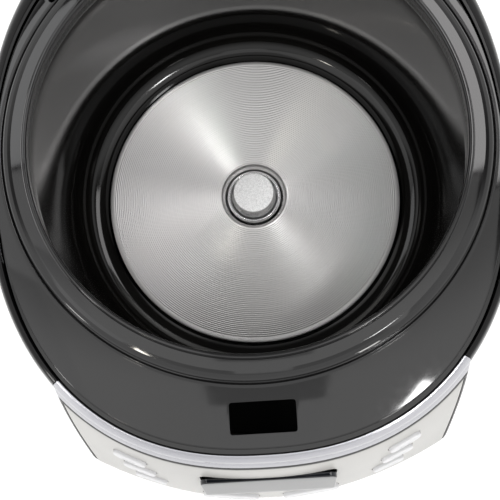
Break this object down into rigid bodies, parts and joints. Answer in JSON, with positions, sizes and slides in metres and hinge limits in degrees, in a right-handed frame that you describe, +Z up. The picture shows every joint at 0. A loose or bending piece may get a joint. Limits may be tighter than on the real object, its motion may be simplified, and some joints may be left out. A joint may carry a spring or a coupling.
{
  "type": "multicooker",
  "caption": "Countertop multicooker with a hinged lid standing open, an enamelled chamber with a turned heating plate and sprung sensor, and a sloping control panel at the front.",
  "frame": {"origin": "on the table, under the centre of the bounding box in the rest pose (lid open)", "axes": "+Z up, -Y towards the user and the control panel, +Y towards the lid hinge, +X to the right as seen from the front"},
  "size_m": [0.2574, 0.3874, 0.4705],
  "materials": {
    "gloss_black": "polished",
    "satin_black": "satin",
    "silver_trim": "metallised satin",
    "panel_silver": "satin",
    "key_pale": "satin",
    "lens": "polished",
    "enamel": "glossy enamel",
    "aluminium": "finely turned",
    "steel": "brushed",
    "rubber": "matte",
    "silicone": "matte",
    "circuit_board": "lacquered",
    "mica": "matte",
    "copper": "wound wire"
  },
  "bodies": {
    "housing": {"outer_shell": "gloss_black", "top_deck": "gloss_black", "mouth_collar": "satin_black", "inner_chamber": "enamel", "side_heater_band": "mica", "heating_plate": "aluminium", "heating_element": "steel", "plate_post_left": "steel", "plate_post_right": "steel", "plate_post_front": "steel", "sensor_sleeve": "steel", "sensor_bracket": "steel", "sensor_spring": "steel", "thermal_fuse": "steel", "base_pan": "satin_black", "foot_front_left": "rubber", "foot_front_right": "rubber", "foot_rear_left": "rubber", "foot_rear_right": "rubber", "power_board": "circuit_board", "transformer": "copper", "relay": "satin_black", "filter_capacitor": "satin_black", "console_housing": "satin_black", "front_panel": "panel_silver", "display_lens": "lens", "control_board": "circuit_board", "display_module": "satin_black", "panel_trim": "silver_trim", "power_inlet": "satin_black", "inlet_pin_line": "steel", "inlet_pin_earth": "steel", "inlet_pin_neutral": "steel", "cup_niche": "satin_black", "hinge_pin": "steel", "hinge_spring": "steel"},
    "lid": {"lid_cover": "gloss_black", "lid_liner": "satin_black", "valve_seat": "satin_black", "latch_pin": "steel"},
    "inner_lid_set": {"inner_lid": "aluminium", "lid_gasket": "silicone", "inner_lid_knob": "satin_black"},
    "steam_valve": {"steam_valve": "satin_black"},
    "release_button": {"release_button": "gloss_black"},
    "latch_hook": {"latch_hook": "satin_black"},
    "sensor_cap": {"sensor_cap": "steel"},
    "drip_cup": {"drip_cup": "satin_black"},
    "key_menu": {"key_menu": "key_pale"},
    "key_timer": {"key_timer": "key_pale"},
    "key_temperature": {"key_temperature": "key_pale"},
    "key_hour": {"key_hour": "key_pale"},
    "key_minute": {"key_minute": "key_pale"},
    "key_warm": {"key_warm": "key_pale"},
    "key_start": {"key_start": "key_pale"},
    "key_cancel": {"key_cancel": "key_pale"}
  },
  "joints": [
    {"name": "lid_hinge", "type": "hinge", "parent": "housing", "child": "lid", "pos_m": [0, 0.12071, 0.187], "axis": [1, 0, 0], "range_deg": [0, 98], "stiffness_Nm_per_rad": 0.5, "springref_deg": -20.05},
    {"name": "inner_lid_removal", "type": "slide", "parent": "lid", "child": "inner_lid_set", "axis": [0, 0.9903, -0.1392], "range_m": [-0.05, 0]},
    {"name": "steam_valve_lift", "type": "slide", "parent": "lid", "child": "steam_valve", "axis": [0, 0.9903, -0.1392], "range_m": [0, 0.03]},
    {"name": "release_press", "type": "slide", "parent": "lid", "child": "release_button", "axis": [0, -0.9877, -0.1564], "range_m": [0, 0.003], "stiffness_N_per_m": 400, "springref_m": -0.001},
    {"name": "latch_swing", "type": "hinge", "parent": "lid", "child": "latch_hook", "pos_m": [0, 0.1671, 0.44809], "axis": [-1, 0, 0], "range_deg": [0, 12]},
    {"name": "sensor_press", "type": "slide", "parent": "housing", "child": "sensor_cap", "axis": [0, 0, -1], "range_m": [0, 0.0065], "stiffness_N_per_m": 350, "springref_m": -0.004, "deforming": ["sensor_spring"]},
    {"name": "drip_cup_pull", "type": "slide", "parent": "housing", "child": "drip_cup", "axis": [0, 1, 0], "range_m": [0, 0.04]},
    {"name": "key_menu_press", "type": "slide", "parent": "housing", "child": "key_menu", "axis": [0.4181, 0.8598, -0.2932], "range_m": [0, 0.0006], "stiffness_N_per_m": 1200, "springref_m": -0.0005},
    {"name": "key_timer_press", "type": "slide", "parent": "housing", "child": "key_timer", "axis": [0.3812, 0.8846, -0.2686], "range_m": [0, 0.0006], "stiffness_N_per_m": 1200, "springref_m": -0.0005},
    {"name": "key_temperature_press", "type": "slide", "parent": "housing", "child": "key_temperature", "axis": [0.3418, 0.9053, -0.2522], "range_m": [0, 0.0006], "stiffness_N_per_m": 1200, "springref_m": -0.0005},
    {"name": "key_hour_press", "type": "slide", "parent": "housing", "child": "key_hour", "axis": [-0.4181, 0.8598, -0.2932], "range_m": [0, 0.0006], "stiffness_N_per_m": 1200, "springref_m": -0.0005},
    {"name": "key_minute_press", "type": "slide", "parent": "housing", "child": "key_minute", "axis": [-0.3812, 0.8846, -0.2686], "range_m": [0, 0.0006], "stiffness_N_per_m": 1200, "springref_m": -0.0005},
    {"name": "key_warm_press", "type": "slide", "parent": "housing", "child": "key_warm", "axis": [-0.3418, 0.9053, -0.2522], "range_m": [0, 0.0006], "stiffness_N_per_m": 1200, "springref_m": -0.0005},
    {"name": "key_start_press", "type": "slide", "parent": "housing", "child": "key_start", "axis": [0.1138, 0.9643, -0.2391], "range_m": [0, 0.0006], "stiffness_N_per_m": 1200, "springref_m": -0.0005},
    {"name": "key_cancel_press", "type": "slide", "parent": "housing", "child": "key_cancel", "axis": [-0.1138, 0.9643, -0.2391], "range_m": [0, 0.0006], "stiffness_N_per_m": 1200, "springref_m": -0.0005}
  ],
  "couplings": [
    {"joint": "latch_swing", "follows": "release_press", "rad_per_m": 69}
  ]
}
